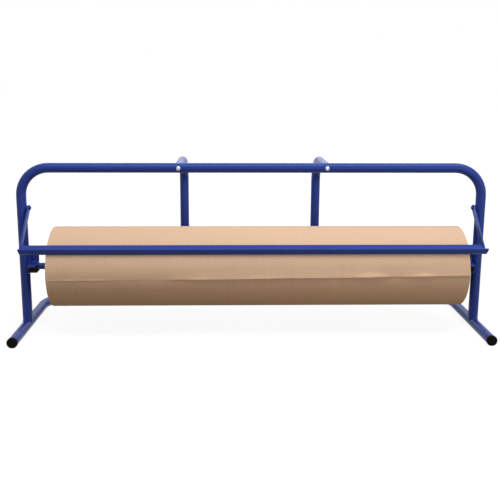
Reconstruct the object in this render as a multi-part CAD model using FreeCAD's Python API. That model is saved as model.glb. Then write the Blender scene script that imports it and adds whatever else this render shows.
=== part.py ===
import FreeCAD, Part
import math
import os

# Free-standing counter stand for a wide roll of wrapping paper with a swinging cutter bar.
# Millimetres. +X to the right, +Y to the back, +Z up. The origin lies on the floor at the
# centre of the footprint. Pieces that come in pairs are modelled on the left and mirrored.

V = FreeCAD.Vector

# Tube frame
tube_d = 30.0
tube_wall = 2.0
upright_spacing = 1406.0
rail_axis_height = 507.0
bend_radius = 85.0
base_depth = 436.0
upright_setback = 165.0
strut_spacing = 450.0

# End caps in the front ends of the base tube
cap_head_length = 8.0
cap_rim = 1.0
cap_edge_round = 3.0
cap_spigot_length = 24.0
cap_spigot_gap = 0.4
cap_rib_count = 3
cap_rib_width = 2.0

# Screws that tie the rail to the rear struts
screw_d = 8.0
screw_hole_gap = 0.25
screw_head_d = 14.0
screw_head_height = 4.5
screw_head_socket = 5.0
screw_grip = 16.0
plug_length = 22.0
plug_gap = 0.05

# Paper roll, its cardboard core and the free edge of the outer sheet
roll_length = 1250.0
roll_d = 245.0
roll_axis_height = 201.0
roll_shift = 16.0
core_bore_d = 70.0
core_wall = 5.0
wrap_thickness = 0.8
wrap_edge_angle = -5.7
wrap_edge_rise = 6.8
wrap_seam_opening = 1.5

# Spindle, its stub ends, stop collars and the plugs in the core
spindle_d = 20.0
spindle_wall = 2.0
stub_d = 10.0
stub_flange = 1.5
stub_spigot_length = 30.0
running_gap = 0.05
collar_d = 26.0
collar_width = 6.0
collar_play = 0.3
grub_screw_d = 4.0
core_plug_flange_d = 90.0
core_plug_flange = 3.0
core_plug_length = 40.0
core_plug_taper = 3.0

# Roll brackets on the inner sides of the uprights
sheet = 3.0
bend_inner = 1.0
bracket_width = 25.0
bracket_floor_drop = 15.0
bracket_floor_front = 14.0
bracket_back_rise = 46.0
bracket_nose = 28.0
bracket_nose_rise = 8.0
bracket_corner = 3.0
side_play = 0.5
lug_radius = 4.4

# Plastic saddles in which the spindle stubs turn
saddle_width = 16.0
saddle_front = 10.0
saddle_screw_d = 5.0
saddle_screw_head_d = 9.0
saddle_screw_length = 11.0

# Hinged keepers that close the saddles, with their grips
keeper_sheet = 2.5
keeper_gap = 0.5
keeper_reach = 35.0
keeper_knuckle_d = 8.0
keeper_pin_d = 5.0
keeper_pin_proud = 1.0
keeper_rod_d = 6.0
keeper_rod_length = 34.0
grip_d = 13.0
grip_length = 31.0
grip_round = 2.0

# Cutter bar and its swinging arms
bar_leg = 21.0
bar_sheet = 3.0
bar_tilt = 20.0
bar_contact_angle = 31.0
bar_paper_gap = 0.3
bar_end_overhang = 7.5
bar_shift = 3.0
bar_end_taper = 4.0
tear_bevel = 5.0
tear_land = 0.8
arm_thickness = 4.0
arm_width = 18.0
arm_seat = 9.0
pivot_height = 384.0
pivot_journal_d = 8.0
pivot_root_d = 10.0
pivot_shoulder_d = 12.0
pivot_standoff = 4.5
pivot_side_play = 0.2
pivot_thread_d = 6.0
pivot_thread_length = 4.0
washer_d = 14.0
washer_thickness = 1.2
nut_across_flats = 10.0
nut_height = 2.5

# Places that follow from the sizes
tube_r = tube_d / 2
bore_r = tube_r - tube_wall
half_span = upright_spacing / 2
inner_face = half_span - tube_r
front_y = -base_depth / 2
rear_y = base_depth / 2 - tube_r
upright_y = front_y + upright_setback
roll_axis = V(0, upright_y, roll_axis_height)
roll_left = roll_shift - roll_length / 2
roll_right = roll_shift + roll_length / 2
roll_r = roll_d / 2
stub_end = sheet + side_play
flange_start = bracket_width + 4 * side_play
spindle_end = flange_start + stub_flange


def side_x(inward):
    """X of a point on the left side, this far inward from the upright's inner face."""
    return inward - inner_face


def cylinder(radius, start, end):
    """Solid cylinder between two points."""
    run = end - start
    return Part.makeCylinder(radius, run.Length, start, run)


def ring(outer, inner, start, end):
    """Cylinder with a bore right through it."""
    return cylinder(outer, start, end).cut(cylinder(inner, start, end))


def block(x0, x1, y0, y1, z0, z1):
    """Box between two corners."""
    return Part.makeBox(x1 - x0, y1 - y0, z1 - z0, V(x0, y0, z0))


def plate_yz(points, x0, x1):
    """Plate with an outline in Y and Z, given relative to the roll axis at the uprights."""
    corners = [V(x0, upright_y + y, roll_axis_height + z) for y, z in points]
    outline = Part.makePolygon(corners + corners[:1])
    return Part.Face(outline).extrude(V(x1 - x0, 0, 0))


def round_edges(shape, radius, chosen):
    """Fillet of the edges that the test picks."""
    edges = [edge for edge in shape.Edges if chosen(edge)]
    return shape.makeFillet(radius, edges)


def runs_along_x(edge):
    """True for a straight edge along X."""
    step = edge.Vertexes[-1].Point - edge.Vertexes[0].Point
    return step.Length > 1e-6 and abs(step.x) > 0.999 * step.Length


def mirrored(shape):
    """The right-hand twin of a left-hand piece."""
    return shape.mirror(V(0, 0, 0), V(1, 0, 0))


def bent_solid(points, radius, section_r):
    """Round bar along a path with a tangent bend at each inner point."""
    edges = []
    start = points[0]
    for before, corner, after in zip(points, points[1:], points[2:]):
        into = (corner - before).normalize()
        out = (after - corner).normalize()
        setback = radius * math.tan(into.getAngle(out) / 2)
        bend_in = corner - into * setback
        bend_out = corner + out * setback
        toward_centre = (out - into).normalize()
        centre_reach = radius / math.cos(into.getAngle(out) / 2)
        middle = corner + toward_centre * (centre_reach - radius)
        edges.append(Part.makeLine(start, bend_in))
        edges.append(Part.Arc(bend_in, middle, bend_out).toShape())
        start = bend_out
    edges.append(Part.makeLine(start, points[-1]))
    heading = points[1] - points[0]
    section = Part.Wire(Part.makeCircle(section_r, points[0], heading))
    return Part.Wire(edges).makePipeShell([section], True, False)


def bent_tube(points):
    """Frame tube along a path, hollow and open at both ends."""
    return bent_solid(points, bend_radius, tube_r).cut(bent_solid(points, bend_radius, bore_r))


def foot_envelope(side):
    """Full round of a foot, for the saddle cut in the upright on it."""
    x = side * half_span
    return cylinder(tube_r, V(x, front_y, tube_r), V(x, rear_y, tube_r))


def rail_envelope():
    """Full round of the rail, for pieces that butt against it."""
    return cylinder(tube_r, V(-half_span, upright_y, rail_axis_height),
                    V(half_span, upright_y, rail_axis_height))


def base_tube():
    """One bent tube on the floor: two feet and the rear cross piece."""
    start_y = front_y + cap_head_length
    return bent_tube([V(-half_span, start_y, tube_r), V(-half_span, rear_y, tube_r),
                      V(half_span, rear_y, tube_r), V(half_span, start_y, tube_r)])


def top_frame_tube():
    """One bent tube: both uprights and the rail, saddle cut onto the feet."""
    shape = bent_tube([V(-half_span, upright_y, tube_r),
                       V(-half_span, upright_y, rail_axis_height),
                       V(half_span, upright_y, rail_axis_height),
                       V(half_span, upright_y, tube_r)])
    shape = shape.cut(foot_envelope(-1)).cut(foot_envelope(1))
    for side in (-1, 1):
        x = side * strut_spacing / 2
        shape = shape.cut(cylinder(screw_d / 2 + screw_hole_gap,
                                   V(x, upright_y - tube_d, rail_axis_height),
                                   V(x, upright_y + tube_d, rail_axis_height)))
        root = cylinder(pivot_root_d / 2 + running_gap,
                        V(side * half_span, upright_y, pivot_height),
                        V(side * (inner_face - 1), upright_y, pivot_height))
        shape = shape.cut(root)
    return shape


def rear_strut():
    """Tube that rises from the rear cross piece and bends forward to the rail."""
    x = -strut_spacing / 2
    shape = bent_tube([V(x, rear_y, tube_r), V(x, rear_y, rail_axis_height),
                       V(x, upright_y, rail_axis_height)])
    cross = cylinder(tube_r, V(x - tube_d, rear_y, tube_r), V(x + tube_d, rear_y, tube_r))
    return shape.cut(cross).cut(rail_envelope())


def foot_cap():
    """Moulded end cap: domed head with a flat underside, ribbed spigot in the tube."""
    x = -half_span
    head_end = front_y + cap_head_length
    head = cylinder(tube_r + cap_rim, V(x, front_y, tube_r), V(x, head_end, tube_r))
    front_rim = [edge for edge in head.Edges if abs(edge.BoundBox.YMax - front_y) < 1e-3
                 and edge.BoundBox.XLength > 1]
    head = head.makeFillet(cap_edge_round, front_rim)
    below_floor = block(x - tube_d, x + tube_d, front_y - 1, head_end + 1, -tube_d, 0)
    head = head.cut(below_floor)
    core_r = bore_r - cap_spigot_gap - cap_rib_width / 2
    spigot = cylinder(core_r, V(x, head_end, tube_r), V(x, head_end + cap_spigot_length, tube_r))
    shape = head.fuse(spigot)
    pitch = cap_spigot_length / (cap_rib_count + 1)
    for index in range(1, cap_rib_count + 1):
        y = head_end + index * pitch
        shape = shape.fuse(cylinder(bore_r - cap_spigot_gap, V(x, y, tube_r),
                                    V(x, y + cap_rib_width, tube_r)))
    return shape


def strut_plug():
    """Threaded steel plug pressed into the front end of a strut."""
    x = -strut_spacing / 2
    shape = cylinder(bore_r - plug_gap, V(x, upright_y, rail_axis_height),
                     V(x, upright_y + tube_r + plug_length, rail_axis_height))
    tapped = cylinder(screw_d / 2 + plug_gap, V(x, upright_y, rail_axis_height),
                      V(x, upright_y + tube_r + plug_length, rail_axis_height))
    return shape.cut(rail_envelope()).cut(tapped)


def strut_screw():
    """Dome-head screw through the rail, its head shaped to the round of the rail."""
    x = -strut_spacing / 2
    head_r = screw_head_d / 2
    front = upright_y - tube_r
    dome_r = (head_r ** 2 + screw_head_height ** 2) / (2 * screw_head_height)
    dome_centre = V(x, front - screw_head_height + dome_r, rail_axis_height)
    blank = cylinder(head_r, V(x, front - screw_head_height, rail_axis_height),
                     V(x, upright_y, rail_axis_height))
    head = blank.common(Part.makeSphere(dome_r, dome_centre).fuse(
        cylinder(head_r, V(x, front, rail_axis_height), V(x, upright_y, rail_axis_height))))
    head = head.cut(rail_envelope())
    shank = cylinder(screw_d / 2, V(x, front - 1, rail_axis_height),
                     V(x, upright_y + tube_r + screw_grip, rail_axis_height))
    shape = head.fuse(shank)
    corners = []
    for index in range(7):
        turn = math.radians(60 * index)
        reach = screw_head_socket / math.sqrt(3)
        corners.append(V(x + reach * math.cos(turn), front - screw_head_height,
                         rail_axis_height + reach * math.sin(turn)))
    socket = Part.Face(Part.makePolygon(corners)).extrude(V(0, screw_head_height / 2, 0))
    return shape.cut(socket)


# Roll brackets. Hinge and saddle places, relative to the roll axis.
stub_r = stub_d / 2
knuckle_r = keeper_knuckle_d / 2
hinge_y = stub_r + knuckle_r + 2 * keeper_gap
keeper_under = stub_r + keeper_gap
hinge_z = keeper_under + knuckle_r
back_front = hinge_y + knuckle_r + keeper_gap
back_rear = back_front + sheet
lip_middle = -keeper_reach + keeper_sheet / 2
rod_z = keeper_under - keeper_gap / 2 - grip_d / 2
saddle_start = (sheet + bracket_width - saddle_width) / 2


def roll_bracket():
    """Welded sheet bracket: cheek on the upright, floor, back plate and hinge lug."""
    floor_under = -bracket_floor_drop - sheet
    cheek = plate_yz([(-bracket_nose, floor_under), (back_rear, floor_under),
                      (back_rear, bracket_back_rise), (back_front - sheet, bracket_back_rise),
                      (-bracket_nose / 4, bracket_nose_rise), (-bracket_nose, bracket_nose_rise)],
                     side_x(0), side_x(sheet))
    cheek = round_edges(cheek, bracket_corner, runs_along_x)
    tray = plate_yz([(-bracket_floor_front, floor_under), (back_rear, floor_under),
                     (back_rear, bracket_back_rise), (back_front, bracket_back_rise),
                     (back_front, -bracket_floor_drop),
                     (-bracket_floor_front, -bracket_floor_drop)],
                    side_x(sheet), side_x(bracket_width))

    def at_corner(y, z):
        """Test for the bend edge at this place in the tray's section."""
        def chosen(edge):
            middle = edge.CenterOfMass
            off_y = abs(middle.y - upright_y - y)
            off_z = abs(middle.z - roll_axis_height - z)
            return runs_along_x(edge) and off_y < 1e-3 and off_z < 1e-3
        return chosen

    tray = round_edges(tray, bend_inner, at_corner(back_front, -bracket_floor_drop))
    tray = round_edges(tray, bend_inner + sheet, at_corner(back_rear, floor_under))
    pin_line = (upright_y + hinge_y, roll_axis_height + hinge_z)
    lug = cylinder(lug_radius, V(side_x(bracket_width - sheet), *pin_line),
                   V(side_x(bracket_width), *pin_line))
    web = plate_yz([(hinge_y, hinge_z - lug_radius), (back_front, hinge_z - lug_radius),
                    (back_front, hinge_z + lug_radius), (hinge_y, hinge_z + lug_radius)],
                   side_x(bracket_width - sheet), side_x(bracket_width))
    shape = cheek.fuse([tray, lug, web])
    pin_hole = cylinder(keeper_pin_d / 2 + plug_gap, V(side_x(-1), *pin_line),
                        V(side_x(bracket_width + 1), *pin_line))
    shape = shape.cut(pin_hole)
    return shape.cut(saddle_screw_tool(saddle_screw_d / 2 + plug_gap,
                                       saddle_screw_head_d / 2 + plug_gap))


def saddle_screw_tool(shank_r, head_r):
    """Countersunk screw shape that comes up through the bracket floor into the saddle."""
    x = side_x(saddle_start + saddle_width / 2)
    y = upright_y
    under = roll_axis_height - bracket_floor_drop - sheet
    cone = Part.makeCone(head_r, shank_r, head_r - shank_r, V(x, y, under), V(0, 0, 1))
    shank = cylinder(shank_r, V(x, y, under), V(x, y, under + saddle_screw_length))
    return cone.fuse(shank)


def saddle_screw():
    """Countersunk screw that holds a saddle down."""
    return saddle_screw_tool(saddle_screw_d / 2, saddle_screw_head_d / 2)


def spindle_saddle():
    """Plastic bearing block with a U seat that is open at the top."""
    x0 = side_x(saddle_start)
    x1 = side_x(saddle_start + saddle_width)
    top = keeper_under - keeper_gap / 2
    shape = plate_yz([(-saddle_front, -bracket_floor_drop), (back_front, -bracket_floor_drop),
                      (back_front, top), (-saddle_front, top)], x0, x1)
    shape = round_edges(shape, bend_inner, runs_along_x)
    seat_r = stub_r + running_gap
    seat = cylinder(seat_r, V(x0 - 1, upright_y, roll_axis_height),
                    V(x1 + 1, upright_y, roll_axis_height))
    throat = plate_yz([(-seat_r, 0), (seat_r, 0), (seat_r, stub_d), (-seat_r, stub_d)],
                      x0 - 1, x1 + 1)
    shape = shape.cut(seat).cut(throat)
    screw_hole = saddle_screw_tool(saddle_screw_d / 2 + plug_gap,
                                   saddle_screw_head_d / 2 + plug_gap)
    return shape.cut(screw_hole)


def keeper_pin():
    """Hinge pin of a keeper, held in the cheek and the lug."""
    y = upright_y + hinge_y
    z = roll_axis_height + hinge_z
    return cylinder(keeper_pin_d / 2, V(side_x(plug_gap), y, z),
                    V(side_x(bracket_width + keeper_pin_proud), y, z))


def keeper_plate():
    """Folded keeper: knuckle on the hinge pin, shelf over the stub and lip in front."""
    top = keeper_under + keeper_sheet
    inner = side_x(sheet + side_play)
    shelf_back = hinge_y - knuckle_r - keeper_gap
    shelf = plate_yz([(shelf_back, keeper_under), (shelf_back, top), (-keeper_reach, top),
                      (-keeper_reach, rod_z), (-keeper_reach + keeper_sheet, rod_z),
                      (-keeper_reach + keeper_sheet, keeper_under)],
                     inner, side_x(bracket_width))

    def outer_bend(edge):
        """Edge where the shelf turns down into the lip, on the outside."""
        middle = edge.CenterOfMass
        return (runs_along_x(edge) and middle.y < upright_y - keeper_reach + 1e-3
                and middle.z > roll_axis_height + top - 1e-3)

    shelf = round_edges(shelf, keeper_sheet + bend_inner, outer_bend)
    knuckle_end = side_x(bracket_width - sheet - side_play)
    tail = plate_yz([(hinge_y, keeper_under), (hinge_y, top), (shelf_back, top),
                     (shelf_back, keeper_under)], inner, knuckle_end)
    y = upright_y + hinge_y
    z = roll_axis_height + hinge_z
    knuckle = cylinder(knuckle_r, V(inner, y, z), V(knuckle_end, y, z))
    shape = shelf.fuse([tail, knuckle])
    bore = cylinder(keeper_pin_d / 2 + running_gap, V(inner - 1, y, z), V(knuckle_end + 1, y, z))
    return shape.cut(bore).cut(rod_solid())


def rod_solid():
    """Full round of the rod on the keeper's lip."""
    y = upright_y + lip_middle
    z = roll_axis_height + rod_z
    start = side_x(sheet - side_play)
    return cylinder(keeper_rod_d / 2, V(start, y, z), V(start + keeper_rod_length, y, z))


def keeper_rod():
    """Steel rod welded along the lower edge of the lip, with rounded ends."""
    rod = rod_solid()
    return rod.makeFillet(keeper_rod_d / 6, [edge for edge in rod.Edges if edge.BoundBox.XLength < 1])


def keeper_grip():
    """Plastic grip pushed over the rod, slit for the lip."""
    y = upright_y + lip_middle
    z = roll_axis_height + rod_z
    start = side_x(sheet - side_play + (keeper_rod_length - grip_length) / 2)
    end = start + grip_length
    shape = cylinder(grip_d / 2, V(start, y, z), V(end, y, z))
    shape = shape.makeFillet(grip_round, [edge for edge in shape.Edges if edge.BoundBox.XLength < 1])
    bore = cylinder(keeper_rod_d / 2 + plug_gap, V(start - 1, y, z), V(end + 1, y, z))
    half_slit = keeper_sheet / 2 + plug_gap
    slit = block(start - 1, side_x(bracket_width) + plug_gap, y - half_slit, y + half_slit,
                 z, z + grip_d)
    return shape.cut(bore).cut(slit)


# Cutter bar. Two directions in the YZ plane: along the lower leg and along the upper leg.
lower_turn = math.radians(-45 - bar_tilt)
along_lower = V(0, math.cos(lower_turn), math.sin(lower_turn))
along_upper = V(0, -math.sin(lower_turn), math.cos(lower_turn))
contact_turn = math.radians(bar_contact_angle)
tear_edge = roll_axis + V(0, -math.cos(contact_turn), math.sin(contact_turn)) * (roll_r + bar_paper_gap)
ridge = tear_edge - along_lower * bar_leg - along_upper * bar_sheet
arm_outer = pivot_standoff
arm_inner = pivot_standoff + arm_thickness


def bar_point(x, lower, upper):
    """Point in the bar's section, measured along its two legs from the ridge."""
    place = ridge + along_lower * lower + along_upper * upper
    return V(x, place.y, place.z)


def bar_section(x0, x1, points):
    """Length of the bar with this section."""
    corners = [bar_point(x0, lower, upper) for lower, upper in points]
    return Part.Face(Part.makePolygon(corners + corners[:1])).extrude(V(x1 - x0, 0, 0))


def cutter_bar():
    """Folded angle with its ridge to the front and a bevelled tear edge on the lower leg."""
    end = abs(side_x(arm_outer - bar_end_overhang))
    shape = bar_section(bar_shift - end, bar_shift + end, [
        (0, 0), (bar_leg - tear_bevel, 0), (bar_leg, bar_sheet - tear_land),
        (bar_leg, bar_sheet), (bar_sheet, bar_sheet), (bar_sheet, bar_leg), (0, bar_leg)])

    def near(lower, upper):
        """Test for the long edge at this place in the section."""
        def chosen(edge):
            place = edge.CenterOfMass
            return runs_along_x(edge) and (place - bar_point(place.x, lower, upper)).Length < 1e-3
        return chosen

    shape = round_edges(shape, bend_inner, near(bar_sheet, bar_sheet))
    shape = round_edges(shape, bend_inner + bar_sheet, near(0, 0))
    arm_face = abs(side_x(arm_inner))
    for side in (-1, 1):
        tip = bar_shift + side * end
        upper_end = bar_section(side * arm_face, tip + side, [
            (-1, bar_sheet), (bar_leg, bar_sheet), (bar_leg, bar_leg + 1), (-1, bar_leg + 1)])
        outline = [bar_point(tip, 0, -1), bar_point(tip, bar_leg + 1, -1),
                   bar_point(tip - side * bar_end_taper, bar_leg + 1, -1)]
        taper = Part.Face(Part.makePolygon(outline + outline[:1]))
        shape = shape.cut(upper_end).cut(taper.extrude(along_upper * (bar_sheet + 2)))
    return shape


def cutter_arm():
    """Flat arm from the pivot to the back of the lower leg, round at its upper end."""
    x0 = side_x(arm_outer)
    x1 = side_x(arm_inner)
    pivot = V(x0, upright_y, pivot_height)
    seat = bar_point(x0, arm_seat, bar_sheet)
    reach = seat - pivot
    ahead = V(reach).normalize()
    across = V(0, -ahead.z, ahead.y) * (arm_width / 2)
    beyond = seat + ahead * arm_width
    outline = [pivot + across, beyond + across, beyond - across, pivot - across]
    band = Part.Face(Part.makePolygon(outline + outline[:1])).extrude(V(x1 - x0, 0, 0))
    eye = cylinder(arm_width / 2, pivot, pivot + V(x1 - x0, 0, 0))
    shape = band.fuse(eye)
    far = 4 * arm_width
    front = [bar_point(x0, -far, bar_sheet), bar_point(x0, far, bar_sheet),
             bar_point(x0, far, -far), bar_point(x0, -far, -far)]
    trim = Part.Face(Part.makePolygon(front + front[:1])).extrude(V(x1 - x0, 0, 0))
    shape = shape.cut(trim)
    eye_hole = cylinder(pivot_journal_d / 2 + running_gap, pivot - V(1, 0, 0),
                        pivot + V(x1 - x0 + 1, 0, 0))
    return shape.cut(eye_hole).removeSplitter()


def pivot_stud():
    """Stepped stud welded into the upright: root, shoulder, journal and thread."""
    def at(inward):
        return V(side_x(inward), upright_y, pivot_height)

    journal_end = arm_inner + pivot_side_play
    root = cylinder(pivot_root_d / 2, at(-2 * tube_wall), at(0))
    shoulder = cylinder(pivot_shoulder_d / 2, at(-tube_wall), at(pivot_standoff - pivot_side_play))
    wall = cylinder(tube_r, V(-half_span, upright_y, pivot_height - tube_d),
                    V(-half_span, upright_y, pivot_height + tube_d))
    shoulder = shoulder.cut(wall)
    journal = cylinder(pivot_journal_d / 2, at(0), at(journal_end))
    thread = cylinder(pivot_thread_d / 2, at(journal_end), at(journal_end + pivot_thread_length))
    return root.fuse([shoulder, journal, thread]).removeSplitter()


def pivot_washer():
    """Flat washer against the end of the stud's journal."""
    start = arm_inner + pivot_side_play
    return ring(washer_d / 2, pivot_thread_d / 2 + plug_gap,
                V(side_x(start), upright_y, pivot_height),
                V(side_x(start + washer_thickness), upright_y, pivot_height))


def pivot_nut():
    """Hexagon nut with chamfered corners on the stud's thread."""
    start = side_x(arm_inner + pivot_side_play + washer_thickness)
    corner_r = nut_across_flats / math.sqrt(3)
    corners = []
    for index in range(7):
        turn = math.radians(60 * index)
        corners.append(V(start, upright_y + corner_r * math.cos(turn),
                         pivot_height + corner_r * math.sin(turn)))
    blank = Part.Face(Part.makePolygon(corners)).extrude(V(nut_height, 0, 0))
    cone_length = 2 * nut_height
    crown = Part.makeCone(corner_r + nut_height / 2, corner_r - nut_height / 2, cone_length,
                          V(start, upright_y, pivot_height), V(1, 0, 0))
    hole = cylinder(pivot_thread_d / 2 + plug_gap, V(start - 1, upright_y, pivot_height),
                    V(start + nut_height + 1, upright_y, pivot_height))
    return blank.common(crown).cut(hole)


def spindle_tube():
    """Steel tube through the roll."""
    end = side_x(spindle_end)
    return ring(spindle_d / 2, spindle_d / 2 - spindle_wall, V(end, upright_y, roll_axis_height),
                V(-end, upright_y, roll_axis_height))


def spindle_stub():
    """Turned end of the spindle: stub in the saddle, flange, and spigot in the tube."""
    def at(inward):
        return V(side_x(inward), upright_y, roll_axis_height)

    stub = cylinder(stub_r, at(stub_end), at(spindle_end))
    flange = cylinder(spindle_d / 2, at(flange_start), at(spindle_end))
    spigot = cylinder(spindle_d / 2 - spindle_wall - plug_gap, at(flange_start),
                      at(spindle_end + stub_spigot_length))
    return stub.fuse([flange, spigot]).removeSplitter()


def collar_point(end_x, outward, along, height):
    """Point on the collar beside this end of the roll: along it from the plug, and above the axis."""
    x = end_x + outward * (core_plug_flange + collar_play + along)
    return V(x, upright_y, roll_axis_height + height)


def grub_point(end_x, outward, height):
    """Point on the grub screw's line, this far above the spindle axis."""
    return collar_point(end_x, outward, collar_width / 2, height)


def spindle_collar(end_x, outward):
    """Stop collar on the spindle beside a core plug, drilled for its grub screw."""
    shape = ring(collar_d / 2, spindle_d / 2 + plug_gap, collar_point(end_x, outward, 0, 0),
                 collar_point(end_x, outward, collar_width, 0))
    hole = cylinder(grub_screw_d / 2 + plug_gap, grub_point(end_x, outward, 0),
                    grub_point(end_x, outward, collar_d))
    return shape.cut(hole)


def collar_screw(end_x, outward):
    """Grub screw that grips the spindle."""
    return cylinder(grub_screw_d / 2, grub_point(end_x, outward, spindle_d / 2),
                    grub_point(end_x, outward, collar_d / 2 - plug_gap))


def core_plug(end_x, inward):
    """Tapered plug in one end of the core, running on the spindle."""
    core_r = core_bore_d / 2
    face = V(end_x, upright_y, roll_axis_height)
    into = V(inward, 0, 0)
    flange = cylinder(core_plug_flange_d / 2, face - into * core_plug_flange, face)
    cone = Part.makeCone(core_r - plug_gap, core_r - core_plug_taper, core_plug_length, face, into)
    bore = cylinder(spindle_d / 2 + plug_gap, face - into * (core_plug_flange + 1),
                    face + into * (core_plug_length + 1))
    return flange.fuse(cone).cut(bore)


def roll_ring(outer, inner):
    """Ring over the whole length of the roll."""
    return ring(outer, inner, V(roll_left, upright_y, roll_axis_height),
                V(roll_right, upright_y, roll_axis_height))


def core_tube():
    """Cardboard core."""
    return roll_ring(core_bore_d / 2 + core_wall, core_bore_d / 2)


def paper_roll():
    """Wound paper on the core, up to the last turn."""
    return roll_ring(roll_r - wrap_thickness, core_bore_d / 2 + core_wall)


def paper_wrap():
    """Last turn of paper, whose free edge runs slightly askew across the front."""
    turn = roll_ring(roll_r, roll_r - wrap_thickness)
    reach = roll_r + 1

    def front_point(x, angle):
        tilt = math.radians(angle)
        return V(x, upright_y - reach * math.cos(tilt), roll_axis_height + reach * math.sin(tilt))

    def slit_end(x, edge_angle):
        centre = V(x, upright_y, roll_axis_height)
        corners = [centre, front_point(x, edge_angle), front_point(x, edge_angle - wrap_seam_opening)]
        return Part.makePolygon(corners + corners[:1])

    slit = Part.makeLoft([slit_end(roll_left, wrap_edge_angle),
                          slit_end(roll_right, wrap_edge_angle + wrap_edge_rise)], True, True)
    return turn.cut(slit)


def pair(shape):
    """A left piece and its right twin as two separate solids in one node."""
    return Part.makeCompound([shape, mirrored(shape)])


def build():
    """All nodes of the assembly by name."""
    nodes = {
        "base_tube": base_tube(),
        "top_frame_tube": top_frame_tube(),
        "strut_screws": pair(strut_screw()),
        "strut_plugs": pair(strut_plug()),
        "saddle_screws": pair(saddle_screw()),
        "pivot_washers": pair(pivot_washer()),
        "pivot_nuts": pair(pivot_nut()),
        "cutter_bar": cutter_bar(),
        "spindle_tube": spindle_tube(),
        "spindle_collar_left": spindle_collar(roll_left, -1),
        "spindle_collar_right": spindle_collar(roll_right, 1),
        "collar_screws": Part.makeCompound([collar_screw(roll_left, -1), collar_screw(roll_right, 1)]),
        "core_plug_left": core_plug(roll_left, 1),
        "core_plug_right": core_plug(roll_right, -1),
        "core_tube": core_tube(),
        "paper_roll": paper_roll(),
        "paper_wrap": paper_wrap(),
    }
    pairs = {
        "rear_strut": rear_strut(),
        "foot_cap": foot_cap(),
        "roll_bracket": roll_bracket(),
        "spindle_saddle": spindle_saddle(),
        "keeper_pin": keeper_pin(),
        "keeper_plate": keeper_plate(),
        "keeper_rod": keeper_rod(),
        "keeper_grip": keeper_grip(),
        "cutter_arm": cutter_arm(),
        "pivot_stud": pivot_stud(),
        "spindle_stub": spindle_stub(),
    }
    for name, shape in pairs.items():
        nodes[name + "_left"] = shape
        nodes[name + "_right"] = mirrored(shape)
    return nodes


def main():
    """Write one STEP file for each node."""
    os.makedirs("parts", exist_ok=True)
    for name, shape in build().items():
        if not shape.isValid():
            raise ValueError(name + " is not a valid solid")
        shape.exportStep(os.path.join("parts", name + ".step"))
        print(name, len(shape.Solids), round(shape.Volume, 1))


main()
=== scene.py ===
import math
import random

import bpy
from mathutils import Matrix, Vector, noise


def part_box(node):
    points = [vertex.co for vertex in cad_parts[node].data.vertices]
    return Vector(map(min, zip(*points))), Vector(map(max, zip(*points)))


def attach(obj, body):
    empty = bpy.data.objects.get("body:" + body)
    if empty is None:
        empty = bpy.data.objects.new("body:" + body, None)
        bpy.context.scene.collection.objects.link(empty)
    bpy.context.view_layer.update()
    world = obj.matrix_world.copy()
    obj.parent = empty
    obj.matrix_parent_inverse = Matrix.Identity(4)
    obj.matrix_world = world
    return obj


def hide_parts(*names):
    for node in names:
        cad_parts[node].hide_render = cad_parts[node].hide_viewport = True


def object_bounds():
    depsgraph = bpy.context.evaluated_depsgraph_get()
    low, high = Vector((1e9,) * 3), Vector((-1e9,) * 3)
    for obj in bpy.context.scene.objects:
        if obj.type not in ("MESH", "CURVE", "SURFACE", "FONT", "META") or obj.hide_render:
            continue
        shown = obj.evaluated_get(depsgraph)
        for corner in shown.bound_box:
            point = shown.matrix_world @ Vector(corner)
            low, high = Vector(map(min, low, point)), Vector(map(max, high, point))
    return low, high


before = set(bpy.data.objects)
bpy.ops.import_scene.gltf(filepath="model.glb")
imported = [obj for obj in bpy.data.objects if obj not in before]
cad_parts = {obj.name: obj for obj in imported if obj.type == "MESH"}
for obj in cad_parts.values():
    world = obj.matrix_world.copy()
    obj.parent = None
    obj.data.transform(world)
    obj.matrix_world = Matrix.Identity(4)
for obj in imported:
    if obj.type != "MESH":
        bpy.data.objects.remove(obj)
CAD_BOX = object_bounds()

bl_info = {
    "name": "Paper roll stand",
    "version": (1, 0, 0),
    "blender": (4, 5, 0),
    "location": "3D View > Sidebar > Roll stand",
    "description": "Finishes, welds, wound paper and stage for a counter stand with a cutter bar",
    "category": "Object",
}

MM = 0.001

# Places and sizes from the CAD nodes' own boxes
TUBE_LOW, TUBE_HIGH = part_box("top_frame_tube")
WRAP_LOW, WRAP_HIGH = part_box("paper_wrap")
CORE_LOW, CORE_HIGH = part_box("core_tube")
STUD_LOW, STUD_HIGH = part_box("pivot_stud_left")
ARM_LOW, ARM_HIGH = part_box("cutter_arm_left")
BRACKET_FOOT_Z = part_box("roll_bracket_left")[0].z

TUBE_R = (TUBE_HIGH.y - TUBE_LOW.y) / 2
UPRIGHT_X = TUBE_HIGH.x - TUBE_R
UPRIGHT_Y = (TUBE_HIGH.y + TUBE_LOW.y) / 2
REAR_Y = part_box("base_tube")[1].y - TUBE_R
STRUT_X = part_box("rear_strut_right")[1].x - TUBE_R
ROLL_Y = (WRAP_LOW.y + WRAP_HIGH.y) / 2
ROLL_Z = (WRAP_LOW.z + WRAP_HIGH.z) / 2
ROLL_R = (WRAP_HIGH.z - WRAP_LOW.z) / 2
CORE_R = (CORE_HIGH.z - CORE_LOW.z) / 2
PIVOT_Z = (STUD_LOW.z + STUD_HIGH.z) / 2


# Settings that a user would change

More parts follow.
